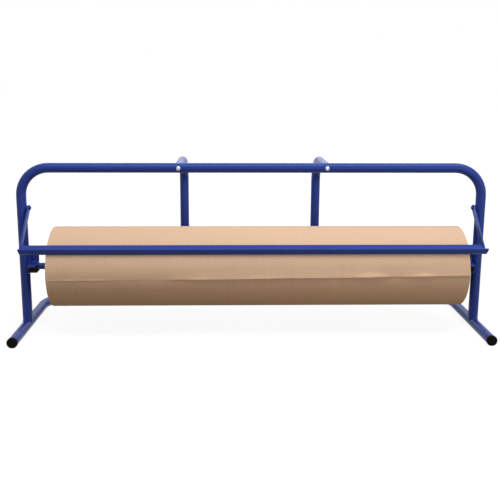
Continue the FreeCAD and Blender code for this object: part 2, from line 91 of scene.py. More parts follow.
class FinishSettings(bpy.types.PropertyGroup):
    """Colours and surface of the stand."""

    paint: bpy.props.FloatVectorProperty(
        name="Paint", description="Colour of the powder coat on the tubes and plates",
        subtype="COLOR", size=4, min=0, max=1, default=(0.027, 0.047, 0.29, 1))
    paint_ripple: bpy.props.FloatProperty(
        name="Paint ripple", description="Depth of the fine ripple in the powder coat",
        subtype="DISTANCE", unit="LENGTH", min=0, max=0.001, default=0.000012)
    zinc: bpy.props.FloatVectorProperty(
        name="Zinc", description="Colour of the plated screws, plugs and pins",
        subtype="COLOR", size=4, min=0, max=1, default=(0.50, 0.54, 0.62, 1))
    dark_steel: bpy.props.FloatVectorProperty(
        name="Blackened steel", description="Colour of the stop collars and the keeper rods",
        subtype="COLOR", size=4, min=0, max=1, default=(0.07, 0.072, 0.08, 1))
    plastic: bpy.props.FloatVectorProperty(
        name="Plastic", description="Colour of the caps, grips, saddles and core plugs",
        subtype="COLOR", size=4, min=0, max=1, default=(0.0015, 0.0015, 0.002, 1))


class PaperSettings(bpy.types.PropertyGroup):
    """Wound paper and its free edge."""

    kraft: bpy.props.FloatVectorProperty(
        name="Paper", description="Colour of the wrapping paper",
        subtype="COLOR", size=4, min=0, max=1, default=(0.76, 0.52, 0.35, 1))
    board: bpy.props.FloatVectorProperty(
        name="Core board", description="Colour of the cardboard core",
        subtype="COLOR", size=4, min=0, max=1, default=(0.36, 0.27, 0.18, 1))
    step: bpy.props.FloatProperty(
        name="Sheet step", description="Height of the last sheet above the one under it",
        subtype="DISTANCE", unit="LENGTH", min=0.0001, max=0.002, default=0.0006)
    sheet: bpy.props.FloatProperty(
        name="Sheet thickness", description="Thickness of the last sheet at its free edge",
        subtype="DISTANCE", unit="LENGTH", min=0.0001, max=0.001, default=0.00025)
    edge_left: bpy.props.FloatProperty(
        name="Edge angle, left",
        description="Angle of the free edge above the roll axis, left end",
        subtype="ANGLE", unit="ROTATION", default=math.radians(-5.7))
    edge_right: bpy.props.FloatProperty(
        name="Edge angle, right",
        description="Angle of the free edge above the roll axis, right end",
        subtype="ANGLE", unit="ROTATION", default=math.radians(1.1))
    slack: bpy.props.FloatProperty(
        name="Slack",
        description="How far up the roll the last sheet hangs free: 1 as drawn, 0 tight",
        min=0, max=1.5, default=1.0)


class StageSettings(bpy.types.PropertyGroup):
    """Floor, light and camera."""

    floor: bpy.props.FloatVectorProperty(
        name="Floor", description="Colour of the floor in the light that it throws back",
        subtype="COLOR", size=4, min=0, max=1, default=(0.16, 0.10, 0.025, 1))
    sky: bpy.props.FloatProperty(
        name="Sky", description="Strength of the even light from all round",
        min=0, max=3, default=0.22)
    key: bpy.props.FloatProperty(
        name="Key lamp", description="Power of the long soft lamp above, a little in front",
        subtype="POWER", unit="POWER", min=0, max=500, default=57.0)
    front: bpy.props.FloatProperty(
        name="Front lamp",
        description="Power of the broad lamp behind the camera, low and to the right",
        subtype="POWER", unit="POWER", min=0, max=500, default=33.0)
    back: bpy.props.FloatProperty(
        name="Back lamp", description="Power of the wide lamp behind, which glances off the tubes",
        subtype="POWER", unit="POWER", min=0, max=500, default=16.0)
    lens: bpy.props.FloatProperty(
        name="Lens", description="Focal length of the camera in millimetres",
        min=10, max=200, default=48.515)


class StandSettings(bpy.types.PropertyGroup):
    """All settings of the dressed stand."""

    finish: bpy.props.PointerProperty(
        type=FinishSettings, name="Finish", description="Colours and surface of the stand")
    paper: bpy.props.PointerProperty(
        type=PaperSettings, name="Paper", description="Wound paper and its free edge")
    stage: bpy.props.PointerProperty(
        type=StageSettings, name="Stage", description="Floor, light and camera")


# Shader nodes

# Sockets of the Mix node in its form for colours
MIX_SHARE, MIX_FIRST, MIX_SECOND, MIX_RESULT = 0, 6, 7, 2

# Roughness of coatings where they are rubbed, and of paper with its spread from fibre to fibre
WORN_ROUGHNESS = 0.2
PAPER_ROUGHNESS = 0.78
PAPER_ROUGHNESS_SPREAD = 0.2

# Relief of the paper's streaks against its fibres
STREAK_RELIEF = 0.4

# Wound layers: how far their rings wander, the noise scale of the wide rings against the fine
# ones, and the wide rings' part in the mix
RING_WANDER = 3 * MM
WIDE_RING_SCALE = 0.06
WIDE_RING_SHARE = 0.6


def place(tree, kind, inputs=None, **settings):
    """New node. An input takes a value, or another node's output, which is joined to it."""
    made = tree.nodes.new("ShaderNode" + kind)
    for name, value in settings.items():
        setattr(made, name, value)
    for socket, value in (inputs or {}).items():
        if isinstance(value, bpy.types.NodeSocket):
            tree.links.new(value, made.inputs[socket])
        else:
            made.inputs[socket].default_value = value
    return made


def calculate(tree, operation, *values):
    """Output of a math node."""
    return place(tree, "Math", dict(enumerate(values)), operation=operation).outputs[0]


def centred(tree, value):
    """Value from 0 to 1, moved to lie evenly about 0."""
    return calculate(tree, "SUBTRACT", value, 0.5)


def mixed_color(tree, share, first, second, blend="MIX"):
    """Output of a Mix node for colours."""
    made = place(tree, "Mix", {MIX_SHARE: share, MIX_FIRST: first, MIX_SECOND: second},
                 data_type="RGBA", blend_type=blend)
    return made.outputs[MIX_RESULT]


def toned(tree, color, level):
    """Colour made lighter or darker by a level about 1."""
    grey = place(tree, "CombineColor", {0: level, 1: level, 2: level}).outputs[0]
    return mixed_color(tree, 1.0, color, grey, "MULTIPLY")


def stretched_noise(tree, scale, detail, roughness=0.5):
    """Noise in the piece's own coordinates, with its own scale along each axis."""
    where = place(tree, "TexCoord").outputs["Object"]
    fitted = place(tree, "Mapping", {"Vector": where, "Scale": scale}).outputs[0]
    made = place(tree, "TexNoise", {"Vector": fitted, "Scale": 1.0, "Detail": detail,
                                    "Roughness": roughness})
    return made.outputs["Fac"]


def effect(name, inputs, outputs):
    """Empty node group with named sockets. Returns its tree, its inputs and its end node."""
    tree = bpy.data.node_groups.new(name, "ShaderNodeTree")
    for label, kind, value in inputs:
        socket = tree.interface.new_socket(label, in_out="INPUT", socket_type="NodeSocket" + kind)
        socket.default_value = value
    for label, kind in outputs:
        tree.interface.new_socket(label, in_out="OUTPUT", socket_type="NodeSocket" + kind)
    entry = tree.nodes.new("NodeGroupInput").outputs
    return tree, entry, tree.nodes.new("NodeGroupOutput")


def finish_effect(tree, end, results):
    """Join the results to the group's outputs."""
    for label, source in results.items():
        tree.links.new(source, end.inputs[label])


def edge_mask(tree, patches):
    """1 along the sharp edges of a piece, broken up by the patches."""
    rounded = place(tree, "Bevel", {"Radius": 0.8 * MM}, samples=4).outputs[0]
    flat = place(tree, "NewGeometry").outputs["Normal"]
    match = place(tree, "VectorMath", {0: rounded, 1: flat}, operation="DOT_PRODUCT")
    sharp = place(tree, "MapRange", {"Value": match.outputs["Value"], "From Min": 0.98,
                                     "From Max": 0.85}).outputs[0]
    broken = place(tree, "MapRange", {"Value": patches, "From Min": 0.42,
                                      "From Max": 0.6}).outputs[0]
    return calculate(tree, "MULTIPLY", sharp, broken)


def coating_effect():
    """Fine ripple, uneven tone, thin haze and rubbed edges of a skin on metal or plastic."""
    tree, entry, end = effect(
        "coating",
        [("Color", "Color", (0.5, 0.5, 0.5, 1)), ("Grain", "Float", 600.0),
         ("Roughness", "Float", 0.3), ("Haze", "Float", 0.1), ("Unevenness", "Float", 0.06),
         ("Edge Color", "Color", (0.5, 0.5, 0.5, 1)), ("Edge Wear", "Float", 0.3)],
        [("Color", "Color"), ("Roughness", "Float"), ("Height", "Float")])
    where = place(tree, "TexCoord").outputs["Object"]
    ripple = place(tree, "TexNoise", {"Vector": where, "Scale": entry["Grain"], "Detail": 2.0})
    cloud = place(tree, "TexNoise", {"Vector": where, "Scale": 9.0, "Detail": 4.0})
    patch = place(tree, "TexNoise", {"Vector": where, "Scale": 70.0, "Detail": 6.0,
                                     "Roughness": 0.7})
    level = calculate(tree, "MULTIPLY_ADD", centred(tree, cloud.outputs["Fac"]),
                      entry["Unevenness"], 1.0)
    even = toned(tree, entry["Color"], level)
    worn = calculate(tree, "MULTIPLY", edge_mask(tree, patch.outputs["Fac"]), entry["Edge Wear"])
    color = mixed_color(tree, worn, even, entry["Edge Color"])
    rough = calculate(tree, "MULTIPLY_ADD", centred(tree, patch.outputs["Fac"]), entry["Haze"],
                      entry["Roughness"])
    rough = calculate(tree, "MULTIPLY_ADD", worn, WORN_ROUGHNESS, rough)
    finish_effect(tree, end, {"Color": color, "Roughness": rough,
                              "Height": ripple.outputs["Fac"]})
    return tree


def fibre_effect():
    """Streaks along the web, short fibres and soft clouds of unbleached paper."""
    tree, entry, end = effect(
        "paper fibre",
        [("Color", "Color", (0.7, 0.5, 0.3, 1)), ("Streaks", "Float", 0.05),
         ("Fibres", "Float", 0.08), ("Clouds", "Float", 0.04)],
        [("Color", "Color"), ("Roughness", "Float"), ("Height", "Float")])
    streak = stretched_noise(tree, scale=(240.0, 9.0, 9.0), detail=3.0)
    fibre = stretched_noise(tree, scale=(2600.0, 700.0, 700.0), detail=4.0, roughness=0.7)
    cloud = stretched_noise(tree, scale=(7.0, 11.0, 11.0), detail=2.0)
    level = 1.0
    for source, amount in ((streak, "Streaks"), (fibre, "Fibres"), (cloud, "Clouds")):
        level = calculate(tree, "MULTIPLY_ADD", centred(tree, source), entry[amount], level)
    color = toned(tree, entry["Color"], level)
    rough = calculate(tree, "MULTIPLY_ADD", centred(tree, fibre), PAPER_ROUGHNESS_SPREAD,
                      PAPER_ROUGHNESS)
    height = calculate(tree, "MULTIPLY_ADD", streak, STREAK_RELIEF, fibre)
    finish_effect(tree, end, {"Color": color, "Roughness": rough, "Height": height})
    return tree


def layer_effect():
    """Rings of wound layers round the roll's axis."""
    tree, entry, end = effect(
        "wound layers",
        [("Color", "Color", (0.7, 0.5, 0.3, 1)), ("Gap Color", "Color", (0.2, 0.12, 0.06, 1)),
         ("Layers per Metre", "Float", 900.0), ("Contrast", "Float", 0.4)],
        [("Color", "Color"), ("Height", "Float")])
    where = place(tree, "TexCoord").outputs["Object"]
    off_axis = place(tree, "Mapping", {"Vector": where, "Location": (0, -ROLL_Y, -ROLL_Z),
                                       "Scale": (0, 1, 1)}).outputs[0]
    radius = place(tree, "VectorMath", {0: off_axis}, operation="LENGTH").outputs["Value"]
    wander = place(tree, "TexNoise", {"Vector": where, "Scale": 16.0, "Detail": 3.0})
    drift = calculate(tree, "MULTIPLY", wander.outputs["Fac"], RING_WANDER)
    turns = calculate(tree, "MULTIPLY", calculate(tree, "ADD", radius, drift),
                      entry["Layers per Metre"])
    line = place(tree, "CombineXYZ", {0: turns}).outputs[0]
    fine = place(tree, "TexNoise", {"Vector": line, "Scale": 1.0, "Detail": 4.0,
                                    "Roughness": 0.75}).outputs["Fac"]
    wide_line = place(tree, "VectorMath", {0: line, 1: (WIDE_RING_SCALE,) * 3},
                      operation="MULTIPLY").outputs[0]
    wide = place(tree, "TexNoise", {"Vector": wide_line, "Scale": 1.0,
                                    "Detail": 2.0}).outputs["Fac"]
    fine_part = calculate(tree, "MULTIPLY", fine, 1 - WIDE_RING_SHARE)
    mixed = calculate(tree, "MULTIPLY_ADD", wide, WIDE_RING_SHARE, fine_part)
    gap = place(tree, "MapRange", {"Value": mixed, "From Min": 0.58, "From Max": 0.4,
                                   "To Min": 0.0, "To Max": 1.0}).outputs[0]
    share = calculate(tree, "MULTIPLY", gap, entry["Contrast"])
    color = mixed_color(tree, share, entry["Color"], entry["Gap Color"])
    finish_effect(tree, end, {"Color": color, "Height": mixed})
    return tree


def shared(name, make):
    """Node group of this name, made on first use."""
    return bpy.data.node_groups.get(name) or make()


def darker(color, share):
    """This share of a colour."""
    return [channel * share for channel in color[:3]] + [1.0]


def surface(name, group, group_inputs, bump_depth, **shader_values):
    """Material with one effect that feeds a Principled shader."""
    material = bpy.data.materials.new(name)
    material.use_nodes = True
    tree = material.node_tree
    shader = tree.nodes["Principled BSDF"]
    for socket, value in shader_values.items():
        shader.inputs[socket.replace("_", " ")].default_value = value
    look = place(tree, "Group")
    look.node_tree = group
    for label, value in group_inputs.items():
        look.inputs[label].default_value = value
    tree.links.new(look.outputs["Color"], shader.inputs["Base Color"])
    if "Roughness" in look.outputs:
        tree.links.new(look.outputs["Roughness"], shader.inputs["Roughness"])
    bump = place(tree, "Bump", {"Height": look.outputs["Height"], "Distance": bump_depth,
                                "Strength": 1.0})
    tree.links.new(bump.outputs["Normal"], shader.inputs["Normal"])
    return material


def powder_coat():
    """Semi-gloss powder coat."""
    looks = bpy.context.scene.roll_stand.finish
    return surface("powder_coat", shared("coating", coating_effect),
                   {"Color": looks.paint, "Grain": 420.0, "Roughness": 0.36, "Haze": 0.10,
                    "Unevenness": 0.10, "Edge Color": (0.10, 0.15, 0.42, 1), "Edge Wear": 0.5},
                   bump_depth=looks.paint_ripple, Specular_IOR_Level=0.30,
                   Specular_Tint=(0.35, 0.72, 1.0, 1))


def zinc_plate():
    """Bright zinc plating."""
    looks = bpy.context.scene.roll_stand.finish
    return surface("zinc_plate", shared("coating", coating_effect),
                   {"Color": looks.zinc, "Grain": 2500.0, "Roughness": 0.28, "Haze": 0.25,
                    "Unevenness": 0.25, "Edge Color": (0.75, 0.76, 0.78, 1), "Edge Wear": 0.5},
                   bump_depth=0.01 * MM, Metallic=1.0)


def dark_steel():
    """Oil-blackened steel."""
    looks = bpy.context.scene.roll_stand.finish
    return surface("dark_steel", shared("coating", coating_effect),
                   {"Color": looks.dark_steel, "Grain": 1800.0, "Roughness": 0.38, "Haze": 0.3,
                    "Unevenness": 0.4, "Edge Color": (0.35, 0.34, 0.33, 1), "Edge Wear": 0.8},
                   bump_depth=0.02 * MM, Metallic=0.9)


def moulded_plastic():
    """Black moulding with a fine eroded grain."""
    looks = bpy.context.scene.roll_stand.finish
    return surface("moulded_plastic", shared("coating", coating_effect),
                   {"Color": looks.plastic, "Grain": 1500.0, "Roughness": 0.45, "Haze": 0.2,
                    "Unevenness": 0.3, "Edge Color": (0.02, 0.02, 0.022, 1), "Edge Wear": 0.4},
                   bump_depth=0.03 * MM, Specular_IOR_Level=0.06)


def kraft_sheet():
    """Face of the wrapping paper."""
    looks = bpy.context.scene.roll_stand.paper
    return surface("kraft_sheet", shared("paper fibre", fibre_effect),
                   {"Color": looks.kraft, "Streaks": 0.10, "Fibres": 0.12, "Clouds": 0.06},
                   bump_depth=0.04 * MM, Specular_IOR_Level=0.3)


def paper_ends():
    """Cut edges of the wound paper."""
    looks = bpy.context.scene.roll_stand.paper
    return surface("paper_ends", shared("wound layers", layer_effect),
                   {"Color": darker(looks.kraft, 0.86), "Gap Color": darker(looks.kraft, 0.42),
                    "Layers per Metre": 1400.0, "Contrast": 0.7},
                   bump_depth=0.3 * MM, Roughness=0.88, Specular_IOR_Level=0.25)


def core_board():
    """Spiral-wound cardboard."""
    looks = bpy.context.scene.roll_stand.paper
    return surface("core_board", shared("wound layers", layer_effect),
                   {"Color": looks.board, "Gap Color": darker(looks.board, 0.5),
                    "Layers per Metre": 2200.0, "Contrast": 0.6},
                   bump_depth=0.2 * MM, Roughness=0.9, Specular_IOR_Level=0.2)


def finish_of(make):
    """Material that this function makes, made on first use."""
    return bpy.data.materials.get(make.__name__) or make()


# Mesh helpers

def strip_faces(rings, points, closed_rings, closed_points):
    """Quads between rings that have the same number of points each."""
    faces = []
    for ring in range(rings if closed_rings else rings - 1):
        start = ring * points
        above = (ring + 1) % rings * points
        for index in range(points if closed_points else points - 1):
            beside = (index + 1) % points
            faces.append((start + index, start + beside, above + beside, above + index))
    return faces


def add_piece(name, points, faces, finishes, body, sharp=40):
    """Mesh piece of a body with these finishes, creased where its faces meet at more degrees than
    sharp.
    """
    mesh = bpy.data.meshes.new(name)
    mesh.from_pydata(points, [], faces)
    for finish in finishes:
        mesh.materials.append(finish)
    mesh.shade_smooth()
    mesh.set_sharp_from_angle(angle=math.radians(sharp))
    piece = bpy.data.objects.new(name, mesh)
    bpy.context.scene.collection.objects.link(piece)
    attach(piece, body)
    return piece


def painted(slot, make):
    """Give every CAD node of this slot its finish, and return the finish."""
    finish = finish_of(make)
    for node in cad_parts.values():
        if node.material_slots[0].material.name == slot:
            node.material_slots[0].material = finish
    return finish


# Weld beads

# Mesh of a bead: distance between its rings, points of a ring, least number of rings
BEAD_STEP = 0.5 * MM
BEAD_SIDES = 10
BEAD_LEAST_RINGS = 4

# Scallops of a hand weld: their pitch, the share of the radius left between two of them, and how
# far each crest lags behind its foot, in radii
BEAD_PITCH = 2.2 * MM
BEAD_WAIST = 0.86
BEAD_LAG = 0.35

# Slow change of a bead's radius: its share of the radius, and its length
BEAD_UNEVENNESS = 0.08
BEAD_PATCH = 6 * MM

# Tapered ends of an open bead: share of the radius at the tip, and its growth from ring to ring
BEAD_TIP = 0.35
BEAD_TIP_GROWTH = 0.25

# Joint of two equal tubes: its length in turns of the tube, how far its corners are eased, and
# how far the bead's middle stands off the tubes, in radii
SADDLE_LENGTH = 1.2
SADDLE_EASE = 0.015
SADDLE_STAND_OFF = 0.1
FRAME_BEAD_R = 2.4 * MM

# Ring of weld round the root of a pivot stud
STUD_RING_R = 6.6 * MM
STUD_BEAD_R = 1.3 * MM

# Bracket beads: distance from the upright's middle plane with the height where each ends; their
# depth in the wedge between cheek and tube, their start above the bracket's foot, and how far
# their crests lean to the middle of the stand
BRACKET_BEADS = ((-7.0 * MM, 208 * MM), (7.0 * MM, 236 * MM))
BRACKET_BEAD_DEPTH = 0.8 * MM
BRACKET_BEAD_START = 1.5 * MM
BRACKET_BEAD_LEAN = 0.4
BRACKET_BEAD_R = 2.1 * MM

# Cutter bar at rest: a point of its ridge line, how far its lower leg leans back, its sheet
BAR_RIDGE = Vector((0, -169.854, 282.011)) * MM
BAR_LEAN = math.radians(25)
BAR_SHEET = 3.0 * MM

# Beads of an arm along the lower leg: starts on the arm's outer and inner face, and end, from the
# ridge; and how far the bead's middle stands off the leg and the arm
ARM_BEAD_STARTS = (2.0 * MM, 5.0 * MM)
ARM_BEAD_END = 17.6 * MM
ARM_BEAD_STAND_OFF = 0.4 * MM
ARM_BEAD_R = 1.6 * MM

# Degrees between two faces of a bead or of the last sheet above which their edge is creased
BEAD_CREASE = 75
SHEET_CREASE = 60


def bead(path, outward, radius, closed):
    """Rings of a weld bead along a path, with the overlapping scallops of a hand weld."""
    rings = []
    count = len(path)
    travelled = 0.0
    for index, centre in enumerate(path):
        ahead = path[(index + 1) % count] if closed else path[min(index + 1, count - 1)]
        behind = path[index - 1] if closed or index else path[0]
        along = (ahead - behind).normalized()
        up = outward[index] - along * outward[index].dot(along)
        up.normalize()
        across = along.cross(up)
        phase = travelled / BEAD_PITCH * math.pi
        swell = BEAD_WAIST + (1 - BEAD_WAIST) * abs(math.sin(phase))
        swell += BEAD_UNEVENNESS * noise.noise(centre / BEAD_PATCH)
        if not closed:
            from_tip = min(index, count - 1 - index)
            swell *= min(1.0, BEAD_TIP + from_tip * BEAD_TIP_GROWTH)
        for side in range(BEAD_SIDES):
            turn = 2 * math.pi * side / BEAD_SIDES
            reach = radius * swell
            lag = BEAD_LAG * radius * max(0.0, math.sin(turn))
            rings.append(centre + across * (reach * math.cos(turn))
                         + up * (reach * math.sin(turn)) - along * lag)
        travelled += (ahead - centre).length
    return rings, strip_faces(count, BEAD_SIDES, closed, True)


def saddle_bead(x, y, lying_along_x, radius):
    """Bead round an upright tube that stands on a lying tube of the same size."""
    count = round(2 * math.pi * TUBE_R * SADDLE_LENGTH / BEAD_STEP)
    path = []
    outward = []
    for index in range(count):
        turn = 2 * math.pi * index / count
        side = math.cos(turn)
        rise = math.sqrt(math.sin(turn) ** 2 + SADDLE_EASE)
        flat = Vector((math.sin(turn), side, 0))
        over = Vector((0, side, rise))
        if not lying_along_x:
            flat, over = flat.yxz, over.yxz
        normal = (flat + over).normalized()
        sunk = Vector((over.x, over.y, 0)) * (radius * (1 - rise))
        path.append(Vector((x, y, TUBE_R)) + flat * TUBE_R + Vector((0, 0, TUBE_R * rise))
                    + normal * (SADDLE_STAND_OFF * radius) - sunk)
        outward.append(normal)
    return bead(path, outward, radius, True)


def straight_bead(start, end, outward, radius):
    """Bead along a straight joint."""
    count = max(BEAD_LEAST_RINGS, round((end - start).length / BEAD_STEP))
    path = [start.lerp(end, index / count) for index in range(count + 1)]
    return bead(path, [outward.normalized()] * len(path), radius, False)


def collar_bead(side, radius, ring_r):
    """Bead round the root of a pivot stud on the upright."""
    count = round(2 * math.pi * ring_r / BEAD_STEP)
    path = []
    outward = []
    for index in range(count):
        turn = 2 * math.pi * index / count
        depth = math.sqrt(TUBE_R ** 2 - (ring_r * math.cos(turn)) ** 2)
        spoke = Vector((0, math.cos(turn), math.sin(turn)))
        path.append(Vector((side * (UPRIGHT_X - depth), UPRIGHT_Y, PIVOT_Z)) + spoke * ring_r)
        outward.append((spoke + Vector((-side, 0, 0))).normalized())
    return bead(path, outward, radius, True)


def joined(parts):
    """Several meshes as one list of points and faces."""
    points = []
    faces = []
    for part_points, part_faces in parts:
        shift = len(points)
        points += part_points
        faces += [tuple(index + shift for index in face) for face in part_faces]
    return points, faces


def dressed(points):
    """Points of a bead, ground flush where it would stand out beyond the box of the CAD."""
    low, high = CAD_BOX
    return [Vector([min(max(value, low[axis]), high[axis]) for axis, value in enumerate(point)])
            for point in points]


def bracket_beads(side):
    """Two upright beads between a bracket's cheek and the tube."""
    x = side * (UPRIGHT_X - TUBE_R + BRACKET_BEAD_DEPTH)
    low = BRACKET_FOOT_Z + BRACKET_BEAD_START
    beads = []
    for offset, top in BRACKET_BEADS:
        start = Vector((x, UPRIGHT_Y + offset, low))
        end = Vector((x, UPRIGHT_Y + offset, top))
        outward = Vector((-BRACKET_BEAD_LEAN * side, math.copysign(1, offset), 0))
        beads.append(straight_bead(start, end, outward, BRACKET_BEAD_R))
    return beads


def arm_beads(side):
    """Beads on both faces of an arm where it stands on the bar's lower leg."""
    lower = Vector((0, math.sin(BAR_LEAN), -math.cos(BAR_LEAN)))
    upper = Vector((0, math.cos(BAR_LEAN), math.sin(BAR_LEAN)))
    beads = []
    for face_x, facing, start in zip((-ARM_LOW.x, -ARM_HIGH.x), (1, -1), ARM_BEAD_STARTS):
        off_face = Vector((side * (face_x + facing * ARM_BEAD_STAND_OFF), 0, 0))
        origin = BAR_RIDGE + off_face + upper * (BAR_SHEET + ARM_BEAD_STAND_OFF)
        outward = upper + Vector((side * facing, 0, 0))
        beads.append(straight_bead(origin + lower * start, origin + lower * ARM_BEAD_END,
                                   outward, ARM_BEAD_R))
    return beads


# Paper

# Free edge of the last sheet: height and length of its torn fibres and of its slow waves, and the
# row of the noise that the fibres are read from
TORN_HEIGHT, TORN_LENGTH = 0.35 * MM, 9 * MM
WAVE_HEIGHT, WAVE_LENGTH = 0.9 * MM, 160 * MM
TORN_ROW = 3.7

# Rows of the last sheet in degrees behind its free edge: its underside from the back to the edge,
# then its outside, close together at the edge and even further on
UNDERSIDE_ROWS = [5.0, 3.0, 1.2, 0.0]
OUTSIDE_ROWS = [0.0, 0.2, 0.5, 0.9, 1.4, 2.0, 2.7, 3.5, 4.4, 5.4, 6.5, 7.8, 9.2, 11, 13, 15.5]
OUTSIDE_ROWS += range(18, 357, 3)
SHEET_COLUMNS = 300

# Tuck of the last sheet under its free edge: where it starts and how long it runs, in degrees
# behind the edge, and its depth below the face of the wound paper
TUCK_START = 290
TUCK_RUN = 60
TUCK_DEPTH = 0.2 * MM

# How far the last sheet keeps inside the roll's radius, and its turned-in rims reach into the
# wound paper
SHEET_INSET = 0.1 * MM
RIM_INSET = 0.3 * MM

# Wound paper: points round it, seed of its layers, least and most radial width of a layer in
# millimetres, and the most and least width of the outermost one
ROLL_SIDES = 192
LAYER_SEED = 7
LAYER_WIDTH = (1.2, 3.4)
OUTER_LAYER_MOST = 4 * MM
OUTER_LAYER_LEAST = 1 * MM

# Steps from layer to layer in the roll's ends: first and greatest depth, greatest change of depth
# in millimetres, width of the slope between two layers, and depth of the outer rim
STEP_DEPTH_FIRST = 0.2 * MM
STEP_DEPTH_MOST = 0.9 * MM
STEP_CHANGE = 0.35
STEP_SLOPE = 0.25 * MM
STEP_RIM = 0.1 * MM


def ease(share):
    """Share from 0 to 1, with a gentle start and end."""
    return share * share * (3 - 2 * share)


def on_roll(x, radius, angle):
    """Point at this distance from the roll's axis; the angle rises from the front."""
    return Vector((x, ROLL_Y - radius * math.cos(angle), ROLL_Z + radius * math.sin(angle)))


def free_edge(x, looks):
    """Angle of the sheet's free edge at this place along the roll."""
    share = (x - WRAP_LOW.x) / (WRAP_HIGH.x - WRAP_LOW.x)
    torn = TORN_HEIGHT / ROLL_R * noise.noise(Vector((x / TORN_LENGTH, TORN_ROW, 0)))
    wave = WAVE_HEIGHT / ROLL_R * noise.noise(Vector((x / WAVE_LENGTH, 0, 0)))
    return looks.edge_left + (looks.edge_right - looks.edge_left) * share + torn + wave


# Where the last sheet leaves the roll: place along the roll, and degrees behind its free edge
LEAVES_ROLL = (
    (-609 * MM, 5.0), (-540 * MM, 6.0), (-430 * MM, 5.0), (-366 * MM, 1.5), (-280 * MM, 2.5),
    (-225 * MM, 10.0), (-154 * MM, 13.0), (0 * MM, 15.0), (130 * MM, 15.0), (230 * MM, 14.0),
    (330 * MM, 16.0), (389 * MM, 11.0), (418 * MM, 8.0), (450 * MM, 13.0), (540 * MM, 13.0),
    (641 * MM, 13.0),
)

# Curls along the free edge: place along the roll, half width, height, and degrees up the roll;
# and the exponent that rounds their foot
CURL_ROUNDING = 1.5
EDGE_CURLS = (
    (-538 * MM, 20 * MM, 0.9 * MM, 2.5),
    (-468 * MM, 40 * MM, 0.6 * MM, 2.5),
    (-155 * MM, 42 * MM, 0.8 * MM, 3.0),
    (32 * MM, 60 * MM, 0.5 * MM, 4.0),
    (350 * MM, 58 * MM, 2.6 * MM, 6.0),
    (502 * MM, 38 * MM, 2.3 * MM, 4.0),
)


def eased(knots, x):
    """Value between the knots at this place, with no corner at a knot."""
    if x <= knots[0][0]:
        return knots[0][1]
    for (x0, low), (x1, high) in zip(knots, knots[1:]):
        if x <= x1:
            return low + (high - low) * ease((x - x0) / (x1 - x0))
    return knots[-1][1]


def edge_lift(x, behind, looks):
    """Height of the sheet off the roll, this many degrees behind its free edge."""
    free = math.radians(max(0.0, eased(LEAVES_ROLL, x) * looks.slack - behind))
    lift = ROLL_R * (1 / math.cos(free) - 1)
    for place_x, half, height, depth in EDGE_CURLS:
        inside = 1 - ((x - place_x) / half) ** 2 - (behind / depth) ** 2
        lift += height * max(0.0, inside) ** CURL_ROUNDING
    return lift


def build_last_sheet(looks):
    """Last turn of paper, from under its free edge round to where it tucks in."""
    rows = [(behind, looks.sheet) for behind in UNDERSIDE_ROWS]
    rows += [(behind, 0.0) for behind in OUTSIDE_ROWS]
    width = WRAP_HIGH.x - WRAP_LOW.x
    xs = [WRAP_LOW.x + width * index / SHEET_COLUMNS for index in range(SHEET_COLUMNS + 1)]
    rim_r = ROLL_R - looks.step - RIM_INSET
    points = []
    for behind, below in rows:
        tuck = ease(max(0.0, min(1.0, (behind - TUCK_START) / TUCK_RUN)))
        for index, x in enumerate([xs[0]] + xs + [xs[-1]]):
            angle = free_edge(x, looks) + math.radians(behind)
            radius = ROLL_R - SHEET_INSET + edge_lift(x, behind, looks)
            radius -= tuck * (looks.step + TUCK_DEPTH) + below
            if index in (0, len(xs) + 1):
                radius = rim_r
            points.append(on_roll(x, radius, angle))
    return points, strip_faces(len(rows), len(xs) + 2, False, False)


def build_wound_paper(looks):
    """Wound paper under the last sheet, its ends stepped by layers that lie a little unevenly."""
    rng = random.Random(LAYER_SEED)
    body_r = ROLL_R - looks.step
    profile = [(WRAP_LOW.x, CORE_R)]
    for end_x, inward in ((WRAP_LOW.x, 1), (WRAP_HIGH.x, -1)):
        radii = []
        radius = CORE_R
        while radius < body_r - OUTER_LAYER_MOST:
            radius += rng.uniform(*LAYER_WIDTH) * MM
            radii.append(min(radius, body_r - OUTER_LAYER_LEAST))
        steps = []
        depth = STEP_DEPTH_FIRST
        for radius in radii:
            steps.append((end_x + inward * depth, radius - STEP_SLOPE))
            change = rng.uniform(-STEP_CHANGE, STEP_CHANGE) * MM
            depth = min(STEP_DEPTH_MOST, max(0.0, depth + change))
            steps.append((end_x + inward * depth, radius))
        steps.append((end_x + inward * STEP_RIM, body_r))
        profile += steps if inward > 0 else list(reversed(steps))
    profile.append((WRAP_HIGH.x, CORE_R))
    points = []
    for x, radius in profile:
        points += [on_roll(x, radius, 2 * math.pi * index / ROLL_SIDES)
                   for index in range(ROLL_SIDES)]
    return points, strip_faces(len(profile), ROLL_SIDES, True, True)


# Operators

class STAND_OT_paint_frame(bpy.types.Operator):
    """Powder-coat the tubes, brackets, keepers, spindle, cutter bar and its pivots"""

    bl_idname = "roll_stand.paint_frame"
    bl_label = "Paint the frame"

    def execute(self, context):
        painted("blue_paint", powder_coat)
        return {"FINISHED"}


class STAND_OT_finish_fastenings(bpy.types.Operator):
    """Plate the screws, plugs and pins, and blacken the collars and keeper rods"""

    bl_idname = "roll_stand.finish_fastenings"
    bl_label = "Finish the fastenings"

    def execute(self, context):
        painted("zinc_steel", zinc_plate)
        painted("black_steel", dark_steel)
        return {"FINISHED"}


class STAND_OT_finish_mouldings(bpy.types.Operator):
    """Give the caps, grips, saddles and core plugs their moulded grain"""

    bl_idname = "roll_stand.finish_mouldings"
    bl_label = "Finish the mouldings"

    def execute(self, context):
        painted("black_plastic", moulded_plastic)
        return {"FINISHED"}


